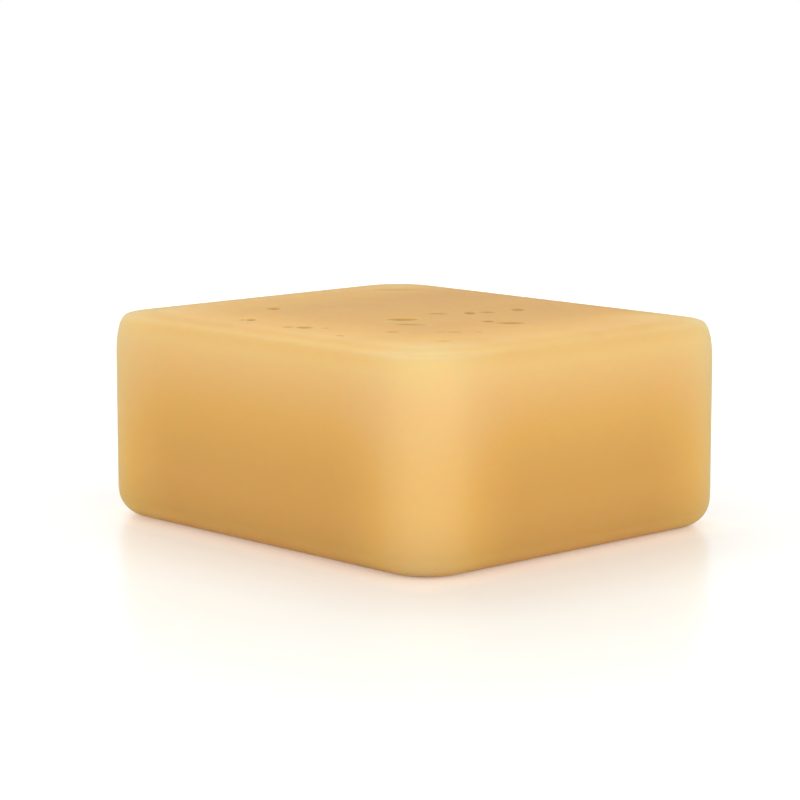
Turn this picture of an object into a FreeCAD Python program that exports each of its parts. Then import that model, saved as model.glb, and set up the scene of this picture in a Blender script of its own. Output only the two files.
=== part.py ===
import FreeCAD, Part

# A moulded bar of translucent honey soap: one solid block.
# Millimetres, +Z up, +X along the longer side, with the origin at the middle of the resting face.
# The upright corners are round, and the flat top falls away in a shallow shoulder before its
# rounded edge. Small air bubbles left shallow dents in the top.

import math
import os
from collections import namedtuple

from FreeCAD import Vector

# Block
length = 65.2                  # along X
width = 57.4                   # along Y
height = 28.0
corner_radius = 7.7            # upright corners
top_edge_radius = 3.0
base_edge_radius = 3.8

# Shoulder between the flat top and the top edge
shoulder_width = 5.0
shoulder_drop = 0.6
crease_radius = 20.0           # blend from the flat to the shoulder

# Dents in the top. Each has its middle, its opening across and along its own line, its depth,
# and the turn of that line from +X in degrees.
Dent = namedtuple("Dent", "x y across along depth turn")
grain = 136.9                  # most dents are drawn out along this line or square to it
cross_grain = grain - 90
dents = [
    Dent(3.5, -5.6, 3.4, 4.2, 0.50, grain),
    Dent(8.1, -7.7, 1.6, 4.6, 0.30, cross_grain),
    Dent(2.2, 2.9, 1.6, 2.7, 0.30, cross_grain),
    Dent(4.8, 6.4, 1.5, 3.0, 0.35, grain),
    Dent(5.7, 8.6, 1.7, 2.4, 0.30, cross_grain),
    Dent(12.8, 1.9, 1.7, 2.1, 0.35, grain),
    Dent(15.3, 3.3, 2.6, 4.2, 0.50, cross_grain),
    Dent(6.5, 13.8, 1.9, 2.6, 0.35, grain),
    Dent(-16.9, -9.7, 1.9, 2.2, 0.35, grain),
    Dent(0.3, -20.2, 2.4, 3.5, 0.50, grain),
    Dent(-9.9, -19.7, 1.4, 2.3, 0.30, grain),
    Dent(11.8, -14.4, 1.3, 1.9, 0.30, cross_grain),
    Dent(17.2, -8.7, 1.2, 2.2, 0.30, cross_grain),
]


def edges_at(shape, level):
    """The edges that lie flat at one level."""
    return [edge for edge in shape.Edges if all(abs(v.Z - level) < 1e-4 for v in edge.Vertexes)]


def rounded_block():
    """The block with its round upright corners and square top and base edges."""
    block = Part.makeBox(length, width, height, Vector(-length / 2, -width / 2, 0))
    upright = [edge for edge in block.Edges if abs(edge.tangentAt(edge.FirstParameter).z) > 0.99]
    return block.makeFillet(corner_radius, upright)


def moulded_block():
    """The block as it left the mould: the shoulder, then the edges rounded over."""
    block = rounded_block()
    block = block.makeChamfer(shoulder_drop, shoulder_width, edges_at(block, height))
    block = block.makeFillet(crease_radius, edges_at(block, height))
    block = block.makeFillet(top_edge_radius, edges_at(block, height - shoulder_drop))
    return block.makeFillet(base_edge_radius, edges_at(block, 0))


def hollow(block, dent):
    """The tool for one dent: a round-ended roller sunk to the dent's depth in the top."""
    plumb = Part.makeLine(Vector(dent.x, dent.y, 0), Vector(dent.x, dent.y, 2 * height))
    surface = plumb.common(block).BoundBox.ZMax
    radius = (dent.across ** 2 / 4 + dent.depth ** 2) / (2 * dent.depth)
    half_run = (dent.along - dent.across) / 2
    turn = math.radians(dent.turn)
    run = Vector(math.cos(turn), math.sin(turn), 0)
    middle = Vector(dent.x, dent.y, surface - dent.depth + radius)
    start = middle - run * half_run
    end = middle + run * half_run
    roller = Part.makeCylinder(radius, 2 * half_run, start, run)
    return roller.fuse([Part.makeSphere(radius, start, run), Part.makeSphere(radius, end, run)])


def soap_bar():
    """The dented bar."""
    block = moulded_block()
    return block.cut([hollow(block, dent) for dent in dents]).Solids[0]


os.makedirs("parts", exist_ok=True)
soap_bar().exportStep("parts/soap_bar.step")
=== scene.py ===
import logging
import math
from dataclasses import dataclass
from enum import Enum
from typing import Any, Callable, Iterable

import bmesh
import bpy
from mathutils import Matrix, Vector


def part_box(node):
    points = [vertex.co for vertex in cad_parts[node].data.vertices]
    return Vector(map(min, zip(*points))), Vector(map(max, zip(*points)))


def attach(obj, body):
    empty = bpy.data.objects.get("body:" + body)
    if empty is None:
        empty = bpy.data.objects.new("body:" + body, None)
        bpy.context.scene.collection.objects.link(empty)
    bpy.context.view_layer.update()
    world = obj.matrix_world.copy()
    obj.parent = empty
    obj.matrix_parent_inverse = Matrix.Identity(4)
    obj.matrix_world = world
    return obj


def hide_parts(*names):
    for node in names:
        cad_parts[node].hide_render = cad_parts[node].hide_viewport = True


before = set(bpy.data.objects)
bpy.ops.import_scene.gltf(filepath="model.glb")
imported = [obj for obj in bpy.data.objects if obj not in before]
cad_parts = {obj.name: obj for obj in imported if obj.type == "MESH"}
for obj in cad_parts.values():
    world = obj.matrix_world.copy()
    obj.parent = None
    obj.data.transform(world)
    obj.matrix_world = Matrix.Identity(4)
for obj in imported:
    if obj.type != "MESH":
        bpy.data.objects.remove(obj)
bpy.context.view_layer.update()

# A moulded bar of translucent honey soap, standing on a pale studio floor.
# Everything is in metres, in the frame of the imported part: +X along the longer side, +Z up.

MM = 0.001
NEAR = 0.01 * MM            # two heights closer than this are the same height
UPWARD = 0.99               # a face whose normal rises more than this looks up
SUNK = "sunk"               # the attribute that says how far a point was pressed in
LOG = logging.getLogger("soap")


def linear(hex_colour: str) -> tuple[float, float, float, float]:
    """Turn an sRGB hex colour to linear RGBA.

    Args:
        hex_colour: Six hex digits with a leading hash mark.

    Returns:
        The linear red, green, blue and an alpha of 1.
    """
    parts = [int(hex_colour[i:i + 2], 16) / 255 for i in (1, 3, 5)]
    red, green, blue = (c / 12.92 if c <= 0.04045 else ((c + 0.055) / 1.055) ** 2.4 for c in parts)
    return red, green, blue, 1.0


def add_node(tree: bpy.types.NodeTree, kind: str, inputs: dict[Any, Any] | None = None,
             **settings: Any) -> bpy.types.Node:
    """Add one node, set it up and fill its sockets.

    Args:
        tree: The node tree that gets the node.
        kind: The node's type name.
        inputs: Socket name or number to a constant, or to another node's output socket.
        settings: The node's own properties.

    Returns:
        The new node.
    """
    node = tree.nodes.new(kind)
    for name, value in settings.items():
        setattr(node, name, value)
    for socket, value in (inputs or {}).items():
        if isinstance(value, bpy.types.NodeSocket):
            tree.links.new(value, node.inputs[socket])
        else:
            node.inputs[socket].default_value = value
    return node


def new_material(name: str) -> bpy.types.Material:
    """Make an empty node material.

    Args:
        name: The material's name.

    Returns:
        The material, with no nodes.
    """
    material = bpy.data.materials.new(name)
    material.use_nodes = True
    material.node_tree.nodes.clear()
    return material


def select_where(piece: bpy.types.Object, kind: str, test: Callable[[Any], bool]) -> int:
    """Select only the parts of a mesh that pass a test, in edit mode.

    Args:
        piece: The object in edit mode.
        kind: "VERT", "EDGE" or "FACE".
        test: Says of one such part whether it is selected.

    Returns:
        How many were selected.
    """
    bpy.ops.mesh.select_mode(type=kind)
    bpy.ops.mesh.select_all(action="DESELECT")
    mesh = bmesh.from_edit_mesh(piece.data)
    parts = {"VERT": mesh.verts, "EDGE": mesh.edges, "FACE": mesh.faces}[kind]
    chosen = [part for part in parts if test(part)]
    for part in chosen:
        part.select_set(True)
    mesh.select_flush_mode()
    bmesh.update_edit_mesh(piece.data)
    return len(chosen)


class Grain(Enum):
    """Which way a dent in the top is drawn out, as a turn from +X in degrees."""

    ALONG = 136.9
    ACROSS = 46.9


@dataclass(frozen=True)
class Dent:
    """A shallow hollow that an air bubble left in the top. Sizes and places are in millimetres."""

    x: float
    y: float
    across: float
    along: float
    depth: float
    grain: Grain = Grain.ALONG


# Where air bubbles met the top, placed as the photo shows them.
DENTS = (
    Dent(3.6, -4.9, 2.2, 4.3, 0.50, Grain.ACROSS),
    Dent(8.1, -7.7, 1.6, 4.6, 0.30, Grain.ACROSS),
    Dent(2.2, 2.9, 1.6, 2.7, 0.30, Grain.ACROSS),
    Dent(4.8, 6.4, 1.5, 3.0, 0.28),
    Dent(5.7, 8.6, 1.7, 2.4, 0.30, Grain.ACROSS),
    Dent(12.8, 1.9, 1.7, 2.1, 0.35),
    Dent(15.7, 3.0, 2.2, 4.2, 0.30, Grain.ACROSS),
    Dent(6.5, 13.8, 1.9, 2.6, 0.35),
    Dent(-16.9, -9.7, 1.9, 2.2, 0.35),
    Dent(0.7, -19.8, 2.0, 2.3, 0.50, Grain.ACROSS),
    Dent(-9.9, -19.7, 1.4, 2.3, 0.30),
    Dent(11.8, -14.4, 1.3, 1.9, 0.30, Grain.ACROSS),
    Dent(17.2, -8.7, 1.2, 2.2, 0.30, Grain.ACROSS),
)
# Finer marks in the top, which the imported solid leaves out.
PINHOLES = (
    Dent(9.4, -6.9, 1.1, 1.1, 0.25),
    Dent(-1.1, -20.9, 1.6, 2.1, 0.12),
    Dent(-10.6, -20.7, 1.1, 1.3, 0.20),
    Dent(15.9, -10.1, 1.1, 1.4, 0.20, Grain.ACROSS),
    Dent(19.4, -6.3, 1.0, 1.0, 0.20),
    Dent(9.8, -21.6, 1.2, 1.4, 0.15),
    Dent(3.0, -18.1, 1.1, 1.1, 0.15),
    Dent(22.4, -15.6, 1.2, 2.0, 0.12, Grain.ACROSS),
    Dent(-21.7, 17.8, 2.0, 7.5, 0.12, Grain.ACROSS),
)


@dataclass(frozen=True)
class Fade:
    """A share that falls smoothly with distance. It rises instead where near is beyond far."""

    near: float
    far: float
    full: float = 1.0


@dataclass(frozen=True)
class HoneySoap:
    """Poured translucent soap, satin from its mould.

    Light goes a few millimetres in and comes out warmer. Over that scattering the colour carries a painted
    glow of pale honey at the edges, where light also comes in from the next side, and painted deep amber
    shade in the broad middles and the foot. The top was the open side of the mould and has faint clouds;
    it has painted light that grows towards the front, and painted shade in its hollows.
    """

    name: str = "poured_honey_soap"
    # From the pale honey of the lit edges to the deep amber of the unlit middles, by share unlit.
    unlit_colours: tuple[tuple[float, str], ...] = (
        (0.0, "#EDCC92"), (0.25, "#EBC37D"), (0.6, "#E7B762"), (1.0, "#DDAA5A"))
    # The painted shade in the dents.
    hollow: str = "#9C6A28"
    # Painted glow, where light comes in: at the top edge, at the upright corners and at the front of the
    # flat.
    rim: Fade = Fade(1 * MM, 20 * MM, 0.8)
    upright: Fade = Fade(0.0, 18 * MM, 0.77)
    front: Fade = Fade(3 * MM, 21 * MM, 0.75)
    corner_blend: float = 4 * MM
    inside_blend: float = 14 * MM
    # Tints are factors of red, green and blue. The foot has painted shade, and its lowest millimetres a
    # painted glow that stands for light from the floor under it.
    foot: Fade = Fade(0.0, 9 * MM)
    foot_painted_shade: tuple[float, float, float] = (0.86, 0.82, 0.85)
    sole: Fade = Fade(0.0, 3.2 * MM)
    sole_painted_glow: tuple[float, float, float] = (1.47, 1.42, 1.55)
    sole_at_corner: float = 0.5
    # The rounding under the top has painted warm shade that offsets its whitish gloss, and the top itself
    # has painted shade at the back and painted light at the front, both warmer to offset its grazing gloss.
    edge: Fade = Fade(0.8 * MM, 2.8 * MM)
    edge_painted_shade: tuple[float, float, float] = (0.98, 0.875, 0.83)
    top_depth: Fade = Fade(0.5 * MM, 0.8 * MM)
    top_inset: Fade = Fade(2.2 * MM, 0.9 * MM)
    back_painted_shade: tuple[float, float, float] = (0.92, 0.92, 0.78)
    front_painted_light: tuple[float, float, float] = (1.28, 1.31, 1.17)
    # The shoulder has painted shade, which takes back the extra light it catches from the lamps.
    shoulder: Fade = Fade(3.2 * MM, 5.6 * MM)
    shoulder_painted_shade: tuple[float, float, float] = (0.93, 0.92, 0.87)
    # Clouds a few millimetres wide, where the soap set unevenly.
    cloud_size: float = 5 * MM
    cloud_detail: float = 3.0
    cloud_range: tuple[float, float] = (0.3, 0.7)
    cloud_tints: tuple[float, float] = (0.975, 1.025)
    # The print of the mould's skin, drawn as coarse as it needs to show.
    grit_size: float = 1.6 * MM
    grit_detail: float = 2.0
    grit_height: float = 0.03 * MM
    # How far red, green and blue light goes in before it comes out again.
    scatter_radius: tuple[float, float, float] = (14.0 * MM, 9.0 * MM, 4.5 * MM)
    ior: float = 1.47
    specular_level: float = 0.2
    roughness: float = 0.55

    def make(self, low: Vector, high: Vector) -> bpy.types.Material:
        """Make the material.

        Args:
            low: The bar's lowest corner.
            high: The bar's highest corner.

        Returns:
            The material.
        """
        material = new_material(self.name)
        tree = material.node_tree
        place = add_node(tree, "ShaderNodeTexCoord").outputs["Object"]
        shares = self.point_shares(tree, place, low, high)
        grit = add_node(tree, "ShaderNodeTexNoise", {
            "Vector": place, "Scale": 1 / self.grit_size, "Detail": self.grit_detail})
        bump = add_node(tree, "ShaderNodeBump", {"Height": grit.outputs["Fac"], "Distance": self.grit_height})
        shader = add_node(tree, "ShaderNodeBsdfPrincipled", {
            "Normal": bump.outputs["Normal"],
            "Base Color": self.colour(tree, shares, self.top_shade_and_clouds(tree, place, shares, low, high)),
            "Roughness": self.roughness,
            "IOR": self.ior,
            "Specular IOR Level": self.specular_level,
            "Subsurface Weight": 1.0,
            "Subsurface Radius": self.scatter_radius,
            "Subsurface Scale": 1.0,
        })
        add_node(tree, "ShaderNodeOutputMaterial", {"Surface": shader.outputs["BSDF"]})
        return material

    def point_shares(self, tree: bpy.types.NodeTree, place: bpy.types.NodeSocket,
                     low: Vector, high: Vector) -> dict[str, bpy.types.NodeSocket]:
        """Work out how much each point belongs to the bar's edges, foot, shoulder and top.

        Args:
            tree: The material's nodes.
            place: The point's own coordinates.
            low: The bar's lowest corner.
            high: The bar's highest corner.

        Returns:
            The sockets, each from 0 to 1, by name.
        """
        aside = add_node(tree, "ShaderNodeVectorMath", {0: place}, operation="ABSOLUTE").outputs[0]
        inset = add_node(tree, "ShaderNodeVectorMath", {0: high, 1: aside}, operation="SUBTRACT").outputs[0]
        in_x, in_y, depth = add_node(tree, "ShaderNodeSeparateXYZ", {"Vector": inset}).outputs
        axes = add_node(tree, "ShaderNodeSeparateXYZ", {"Vector": place}).outputs
        from_front = add_node(tree, "ShaderNodeMath", {
            0: axes["Y"], 1: low.y}, operation="SUBTRACT").outputs[0]
        inside, from_corner, from_lit_side = (
            add_node(tree, "ShaderNodeMath", {0: in_x, 1: other, 2: blend}, operation=way).outputs[0]
            for other, blend, way in ((in_y, self.inside_blend, "SMOOTH_MIN"),
                                      (in_y, self.corner_blend, "SMOOTH_MAX"),
                                      (from_front, self.corner_blend, "SMOOTH_MIN")))
        fades = {
            "upright": (self.upright, from_corner),
            "rim": (self.rim, depth),
            "front": (self.front, from_lit_side),
            "foot": (self.foot, axes["Z"]),
            "sole": (self.sole, axes["Z"]),
            "edge": (self.edge, depth),
            "top_depth": (self.top_depth, depth),
            "top_inset": (self.top_inset, inside),
            "shoulder": (self.shoulder, inside),
        }
        shares = {
            name: add_node(tree, "ShaderNodeMapRange", {
                "Value": distance, "From Min": fade.near, "From Max": fade.far,
                "To Min": fade.full, "To Max": 0.0}, interpolation_type="SMOOTHSTEP").outputs["Result"]
            for name, (fade, distance) in fades.items()}
        shares["top"] = add_node(tree, "ShaderNodeMath", {
            0: shares["top_depth"], 1: shares["top_inset"]}, operation="MULTIPLY").outputs[0]
        shares["off_corner"] = add_node(tree, "ShaderNodeMath", {
            0: 1.0, 1: shares["upright"]}, operation="SUBTRACT").outputs[0]
        return shares

    def top_shade_and_clouds(self, tree: bpy.types.NodeTree, place: bpy.types.NodeSocket,
                 shares: dict[str, bpy.types.NodeSocket], low: Vector, high: Vector) -> bpy.types.NodeSocket:
        """Work out the top's painted light and shade, from the back to the front and on the shoulder, and its
        clouds.

        Args:
            tree: The material's nodes.
            place: The point's own coordinates.
            shares: The point's shares by name.
            low: The bar's lowest corner.
            high: The bar's highest corner.

        Returns:
            The tint's socket.
        """
        axes = add_node(tree, "ShaderNodeSeparateXYZ", {"Vector": place}).outputs
        forward = add_node(tree, "ShaderNodeMath", {
            0: axes["X"], 1: axes["Y"]}, operation="SUBTRACT").outputs[0]
        # Painted shade at the back of the top, painted light at the front.
        drift = add_node(tree, "ShaderNodeMapRange", {
            "Value": forward, "From Min": low.x + low.y, "From Max": high.x + high.y}).outputs["Result"]
        flat = add_node(tree, "ShaderNodeMix", {
            "Factor": drift, 6: (*self.back_painted_shade, 1), 7: (*self.front_painted_light, 1)}, data_type="RGBA").outputs[2]
        cloud = add_node(tree, "ShaderNodeTexNoise", {
            "Vector": place, "Scale": 1 / self.cloud_size, "Detail": self.cloud_detail})
        cloudy = add_node(tree, "ShaderNodeMapRange", {
            "Value": cloud.outputs["Fac"], "From Min": self.cloud_range[0], "From Max": self.cloud_range[1],
            "To Min": self.cloud_tints[0], "To Max": self.cloud_tints[1]}).outputs["Result"]
        return self.tinted(tree, flat, (shares["shoulder"], (*self.shoulder_painted_shade, 1)), (1.0, cloudy))

    def colour(self, tree: bpy.types.NodeTree, shares: dict[str, bpy.types.NodeSocket],
               top_shade_and_clouds: bpy.types.NodeSocket) -> bpy.types.NodeSocket:
        """Work out the colour of each point, with its painted glow, light and shade.

        Args:
            tree: The material's nodes.
            shares: The point's shares by name.
            top_shade_and_clouds: The tint of the top.

        Returns:
            The colour's socket.
        """
        rim_kept = add_node(tree, "ShaderNodeMix", {
            "Factor": shares["top"], 2: 1.0, 3: shares["front"]}).outputs[0]
        rim = add_node(tree, "ShaderNodeMath", {
            0: shares["rim"], 1: rim_kept}, operation="MULTIPLY").outputs[0]
        off_rim = add_node(tree, "ShaderNodeMath", {0: 1.0, 1: rim}, operation="SUBTRACT").outputs[0]
        sole_kept = add_node(tree, "ShaderNodeMath", {
            0: shares["upright"], 1: -self.sole_at_corner, 2: 1.0}, operation="MULTIPLY_ADD").outputs[0]
        unlit, sole, edge = (
            add_node(tree, "ShaderNodeMath", {0: one, 1: other}, operation="MULTIPLY").outputs[0]
            for one, other in ((shares["off_corner"], off_rim), (shares["sole"], sole_kept),
                               (shares["edge"], shares["off_corner"])))
        # The painted glow: pale honey where light comes in, deep amber shade where it does not.
        ramp = add_node(tree, "ShaderNodeValToRGB", {"Fac": unlit})
        marks = ramp.color_ramp.elements
        for share, _ in self.unlit_colours[1:-1]:
            marks.new(share)
        for mark, (_, colour) in zip(marks, self.unlit_colours):
            mark.color = linear(colour)
        # Painted shade at the foot and under the top edge, a painted glow at the sole, and the top's painted
        # light and shade.
        whole = self.tinted(
            tree, ramp.outputs["Color"],
            (shares["foot"], (*self.foot_painted_shade, 1)),
            (sole, (*self.sole_painted_glow, 1)),
            (edge, (*self.edge_painted_shade, 1)),
            (shares["top"], top_shade_and_clouds))
        # Painted shade in the dents, by how far each point was pressed in.
        sunk = add_node(tree, "ShaderNodeAttribute", attribute_name=SUNK).outputs["Fac"]
        return add_node(tree, "ShaderNodeMix", {
            "Factor": sunk, 6: whole, 7: linear(self.hollow)}, data_type="RGBA").outputs[2]

    def tinted(self, tree: bpy.types.NodeTree, colour: bpy.types.NodeSocket,
               *tints: tuple[Any, Any]) -> bpy.types.NodeSocket:
        """Multiply a colour by tints, one after the other.

        Args:
            tree: The material's nodes.
            colour: The first colour.
            tints: For each, how much of it counts, and the tint.

        Returns:
            The tinted colour's socket.
        """
        for share, tint in tints:
            colour = add_node(tree, "ShaderNodeMix", {"Factor": share, 6: colour, 7: tint},
                              data_type="RGBA", blend_type="MULTIPLY").outputs[2]
        return colour


@dataclass
class SoapBar:
    """The bar itself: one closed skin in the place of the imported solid."""

    node: str = "soap_bar"
    corner_radius: float = 7.7 * MM
    corner_segments: int = 16
    shoulder_width: float = 5.0 * MM
    shoulder_drop: float = 0.5 * MM
    crease_reach: float = 1.6 * MM
    top_edge_reach: float = 1.4 * MM
    top_edge_fall: float = 4.9 * MM
    base_edge_reach: float = 3.8 * MM
    base_edge_rise: float = 3.8 * MM
    edge_segments: int = 10
    crease_segments: int = 4
    skin_cell: float = 0.5 * MM
    ease_share: float = 0.5
    ease_rounds: int = 6
    dent_cuts: int = 2
    dent_margin: float = 1.3
    # A dent has its full painted shade from the first depth on, and nothing in the flat is below the second.
    full_shade_depth: float = 0.36 * MM
    deepest: float = 1.0 * MM

    def build(self) -> bpy.types.Object:
        """Model the bar.

        Returns:
            The finished object, at the origin, with its place in its mesh.
        """
        low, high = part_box(self.node)
        size = Vector(high) - Vector(low)
        centre = (Vector(high) + Vector(low)) / 2
        side_top = size.z - self.shoulder_drop
        bpy.ops.mesh.primitive_cube_add(size=1, location=(centre.x, centre.y, low[2] + side_top / 2),
                                        scale=(size.x, size.y, side_top))
        piece = bpy.context.object
        piece.name = piece.data.name = "moulded_soap"
        bpy.ops.object.transform_apply(location=True, rotation=True, scale=True)
        bpy.ops.object.mode_set(mode="EDIT")
        self.round_corners(piece)
        self.raise_flat(piece, side_top)
        self.round_edge(piece, side_top, self.top_edge_reach, self.top_edge_fall)
        self.round_edge(piece, 0.0, self.base_edge_reach, self.base_edge_rise)
        bpy.ops.object.mode_set(mode="OBJECT")
        self.reskin(piece)
        for dent in DENTS + PINHOLES:
            self.press(piece, dent, high[2])
        self.mark_sunk(piece, high[2])
        return piece

    def round_corners(self, piece: bpy.types.Object) -> None:
        """Round the four upright corners of the block, which is in edit mode."""
        select_where(piece, "EDGE", lambda edge: edge.verts[0].co.xy == edge.verts[1].co.xy)
        bpy.ops.mesh.bevel(offset=self.corner_radius, segments=self.corner_segments, affect="EDGES")

    def raise_flat(self, piece: bpy.types.Object, side_top: float) -> None:
        """Inset the top and raise its flat, which leaves the shoulder, and soften the crease.

        Args:
            piece: The block, in edit mode.
            side_top: The height of its top so far.
        """
        select_where(piece, "FACE", lambda face: face.normal.z > UPWARD)
        bpy.ops.mesh.inset(thickness=self.shoulder_width, depth=self.shoulder_drop)
        flat = side_top + self.shoulder_drop
        select_where(piece, "EDGE", lambda edge: all(abs(v.co.z - flat) < NEAR for v in edge.verts))
        bpy.ops.mesh.bevel(offset=self.crease_reach, segments=self.crease_segments, affect="EDGES")

    def round_edge(self, piece: bpy.types.Object, level: float, reach: float, rise: float) -> None:
        """Round the ring of edges at a level over a quarter ellipse.

        The block is squashed or drawn out so that the ellipse is a circle there, bevelled, and set back.

        Args:
            piece: The block, in edit mode.
            level: The ring's height.
            reach: How far the rounding goes in over the flat.
            rise: How far it goes up or down the sides.
        """
        select_where(piece, "VERT", lambda vert: True)
        squash = reach / rise
        bpy.ops.transform.resize(value=(1, 1, squash), center_override=(0, 0, level))
        select_where(piece, "EDGE", lambda edge: all(abs(v.co.z - level) < NEAR for v in edge.verts))
        bpy.ops.mesh.bevel(offset=reach, segments=self.edge_segments, affect="EDGES")
        select_where(piece, "VERT", lambda vert: True)
        bpy.ops.transform.resize(value=(1, 1, 1 / squash), center_override=(0, 0, level))

    def reskin(self, piece: bpy.types.Object) -> None:
        """Give the block one even skin of small cells and smooth it.

        Args:
            piece: The block, in object mode.
        """
        remesh = piece.modifiers.new("even_skin", "REMESH")
        remesh.mode = "VOXEL"
        remesh.voxel_size = self.skin_cell
        remesh.use_smooth_shade = True
        bpy.ops.object.modifier_apply(modifier=remesh.name)
        smooth = piece.modifiers.new("ease", "SMOOTH")
        smooth.factor = self.ease_share
        smooth.iterations = self.ease_rounds
        bpy.ops.object.modifier_apply(modifier=smooth.name)

    def press(self, piece: bpy.types.Object, dent: Dent, flat: float) -> None:
        """Press one oval hollow in the flat.

        The bar is turned and squashed so that the oval is a round one there, pressed, and set back.

        Args:
            piece: The bar, in object mode.
            dent: The hollow.
            flat: The flat's height.
        """
        spot = Vector((dent.x * MM, dent.y * MM, flat))
        reach = dent.along / 2 * MM
        squash = dent.across / dent.along
        turn = math.radians(dent.grain.value)
        bpy.ops.object.mode_set(mode="EDIT")
        around = self.dent_margin * reach
        select_where(piece, "FACE", lambda face: (face.calc_center_median() - spot).length < around)
        bpy.ops.mesh.subdivide(number_cuts=self.dent_cuts)
        bpy.ops.mesh.select_all(action="SELECT")
        bpy.ops.transform.rotate(value=turn, orient_axis="Z", center_override=spot)
        bpy.ops.transform.resize(value=(squash, 1, 1), center_override=spot)
        verts = bmesh.from_edit_mesh(piece.data).verts
        nearest = min(verts, key=lambda vert: (vert.co - spot).length_squared).index
        select_where(piece, "VERT", lambda vert: vert.index == nearest)
        bpy.ops.transform.translate(
            value=(0, 0, -dent.depth * MM), use_proportional_edit=True,
            proportional_edit_falloff="SPHERE", proportional_size=dent.across / 2 * MM)
        bpy.ops.mesh.select_all(action="SELECT")
        bpy.ops.transform.resize(value=(1 / squash, 1, 1), center_override=spot)
        bpy.ops.transform.rotate(value=-turn, orient_axis="Z", center_override=spot)
        bpy.ops.object.mode_set(mode="OBJECT")

    def mark_sunk(self, piece: bpy.types.Object, flat: float) -> None:
        """Note on each point of the flat how far it was pressed in, for the painted shade in the dents.

        Args:
            piece: The bar.
            flat: The flat's height.
        """
        low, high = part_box(self.node)
        margin = self.shoulder_width + self.crease_reach
        marks = piece.data.attributes.new(SUNK, "FLOAT", "POINT")
        for vert, mark in zip(piece.data.vertices, marks.data):
            inside = all(low[i] + margin < vert.co[i] < high[i] - margin for i in (0, 1))
            depth = flat - vert.co.z
            mark.value = min(1.0, depth / self.full_shade_depth) if inside and depth < self.deepest else 0.0

    def dress(self, piece: bpy.types.Object) -> None:
        """Give the bar its finish and its place in the frame.

        Args:
            piece: The bar.
        """
        low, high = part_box(self.node)
        piece.data.materials.append(HoneySoap().make(Vector(low), Vector(high)))
        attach(piece, "root")
        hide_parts(self.node)


@dataclass(frozen=True)
class Lamp:
    """A soft square lamp that points at the soap, placed by its direction from there in degrees."""

    name: str
    azimuth: float
    elevation: float
    distance: float
    size: float
    power: float

    def hang(self) -> None:
        """Hang the lamp."""
        turn, rise = math.radians(self.azimuth), math.radians(self.elevation)
        away = Vector((math.sin(turn) * math.cos(rise), -math.cos(turn) * math.cos(rise), math.sin(rise)))
        bpy.ops.object.light_add(type="AREA", location=away * self.distance)
        lamp = bpy.context.object
        lamp.name = self.name
        lamp.data.size = self.size
        lamp.data.energy = self.power
        lamp.rotation_mode = "QUATERNION"
        lamp.rotation_quaternion = away.to_track_quat("Z", "Y")


@dataclass(frozen=True)
class GlossBoard:
    """Smooth white board, which mirrors the soap softly and keeps its shadow.

    The camera also sees it lifted towards white, the more the further it is from the soap.
    """

    name: str = "white_gloss_board"
    colour: str = "#E7E7E7"
    roughness: float = 0.27
    ior: float = 1.5
    white_at: float = 400 * MM
    # At the soap's foot the lift is warmer and brighter: a painted glow of the soap's light on the board,
    # which softens its shadow there.
    lift: tuple[tuple[float, str], ...] = (
        (0.0, "#9E9589"),
        (3 * MM, "#8E8D89"),
        (10 * MM, "#8E908D"),
        (20 * MM, "#939A98"),
        (60 * MM, "#9DAAA8"),
        (120 * MM, "#B3B3B3"),
    )

    def make(self, high: Vector) -> bpy.types.Material:
        """Make the material.

        Args:
            high: The highest corner of what stands on it, with its centre at the origin.

        Returns:
            The material.
        """
        material = new_material(self.name)
        tree = material.node_tree
        place = add_node(tree, "ShaderNodeTexCoord").outputs["Object"]
        aside = add_node(tree, "ShaderNodeVectorMath", {0: place}, operation="ABSOLUTE").outputs[0]
        beyond = add_node(tree, "ShaderNodeVectorMath", {
            0: aside, 1: (high.x, high.y, 0)}, operation="SUBTRACT").outputs[0]
        outside = add_node(tree, "ShaderNodeVectorMath", {
            0: beyond, 1: (0, 0, 0)}, operation="MAXIMUM").outputs[0]
        away = add_node(tree, "ShaderNodeVectorMath", {0: outside}, operation="LENGTH").outputs["Value"]
        share = add_node(tree, "ShaderNodeMath", {0: away, 1: self.white_at}, operation="DIVIDE").outputs[0]
        ramp = add_node(tree, "ShaderNodeValToRGB", {"Fac": share})
        marks = ramp.color_ramp.elements
        for distance, _ in self.lift[1:]:
            marks.new(distance / self.white_at)
        for mark, (_, colour) in zip(marks, self.lift):
            mark.color = linear(colour)
        path = add_node(tree, "ShaderNodeLightPath")
        board = add_node(tree, "ShaderNodeBsdfPrincipled", {
            "Base Color": linear(self.colour), "Roughness": self.roughness, "IOR": self.ior,
            "Emission Color": ramp.outputs["Color"], "Emission Strength": path.outputs["Is Camera Ray"],
        })
        add_node(tree, "ShaderNodeOutputMaterial", {"Surface": board.outputs["BSDF"]})
        return material


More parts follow.
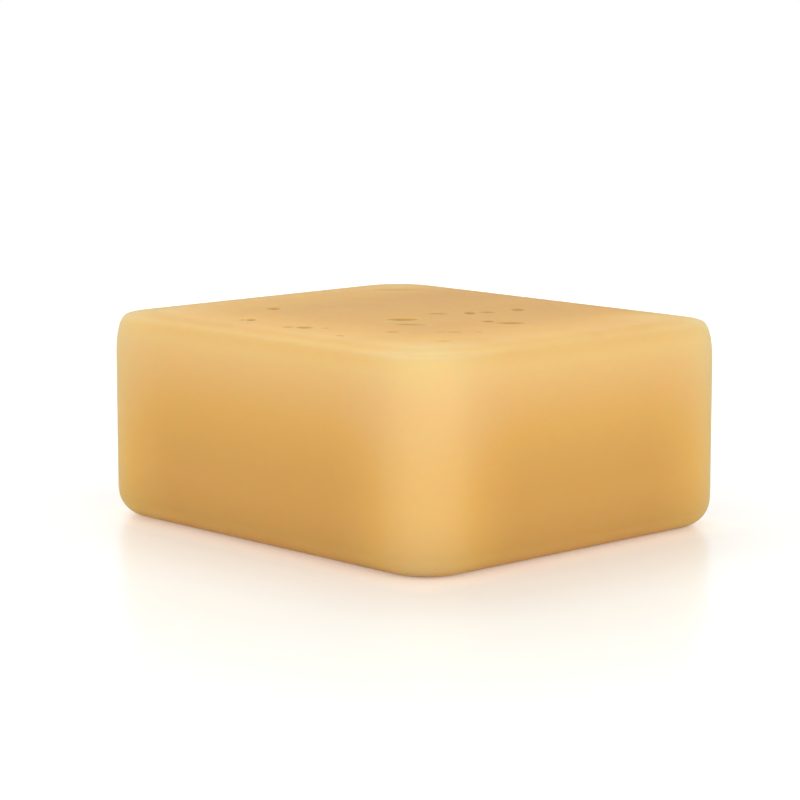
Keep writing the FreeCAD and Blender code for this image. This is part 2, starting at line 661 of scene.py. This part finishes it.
@dataclass
class Studio:
    """A pale floor, a white surround and soft lamps."""

    floor_size: float = 6.0
    surround: str = "#FFFFFF"
    surround_strength: float = 0.45
    lamps: tuple[Lamp, ...] = (
        Lamp("right_lamp", 86, 17, 0.60, 0.6, 1.9),
        Lamp("left_lamp", 1, 17, 0.75, 0.8, 2.46),
        Lamp("back_lamp", 248, 55, 0.7, 0.5, 1.2),
    )

    def build(self) -> None:
        """Make the floor, the world and the lamps."""
        self.lay_floor()
        self.light_world()
        for lamp in self.lamps:
            lamp.hang()
            LOG.info("%s: %.2f W", lamp.name, lamp.power)

    def lay_floor(self) -> None:
        """Lay the floor under the soap."""
        bpy.ops.mesh.primitive_plane_add(size=self.floor_size, location=(0, 0, 0))
        floor = bpy.context.object
        floor.name = "studio_floor"
        floor.data.materials.append(GlossBoard().make(Vector(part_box(SoapBar.node)[1])))
        LOG.info("%s: %.1f m", floor.name, self.floor_size)

    def light_world(self) -> None:
        """Surround the scene with an even pale light that the camera and reflections see as white."""
        world = bpy.data.worlds.new("pale_surround")
        world.use_nodes = True
        bpy.context.scene.world = world
        tree = world.node_tree
        tree.nodes.clear()
        path = add_node(tree, "ShaderNodeLightPath").outputs
        seen = add_node(tree, "ShaderNodeMath", {
            0: path["Is Camera Ray"], 1: path["Is Glossy Ray"]}, operation="MAXIMUM").outputs[0]
        strength = add_node(tree, "ShaderNodeMapRange", {
            "Value": seen, "To Min": self.surround_strength, "To Max": 1.0}).outputs["Result"]
        sky = add_node(tree, "ShaderNodeBackground", {"Color": linear(self.surround), "Strength": strength})
        add_node(tree, "ShaderNodeOutputWorld", {"Surface": sky.outputs[0]})


@dataclass(frozen=True)
class Viewpoint:
    """The camera's place, low over the floor and in front of one upright corner, as the photo's was."""

    place: tuple[float, float, float] = (270.49 * MM, -256.06 * MM, 74.84 * MM)
    target: tuple[float, float, float] = (-1.05 * MM, -1.12 * MM, 16.29 * MM)
    lens: float = 125.8

    def build(self) -> None:
        """Set up the camera."""
        bpy.ops.object.camera_add(location=self.place)
        camera = bpy.context.object
        camera.name = "photo_camera"
        camera.data.lens = self.lens
        camera.rotation_mode = "QUATERNION"
        camera.rotation_quaternion = (Vector(self.target) - Vector(self.place)).to_track_quat("-Z", "Y")
        bpy.context.scene.camera = camera


def main() -> None:
    """Build the soap, the studio and the camera, and report each piece."""
    logging.basicConfig(level=logging.INFO, format="%(message)s")
    bpy.ops.object.select_all(action="DESELECT")
    bpy.context.scene.view_settings.view_transform = "Standard"
    bar = SoapBar()
    piece = bar.build()
    bar.dress(piece)
    LOG.info("%s: %d faces", piece.name, len(piece.data.polygons))
    Studio().build()
    Viewpoint().build()


if __name__ == "__main__":
    main()
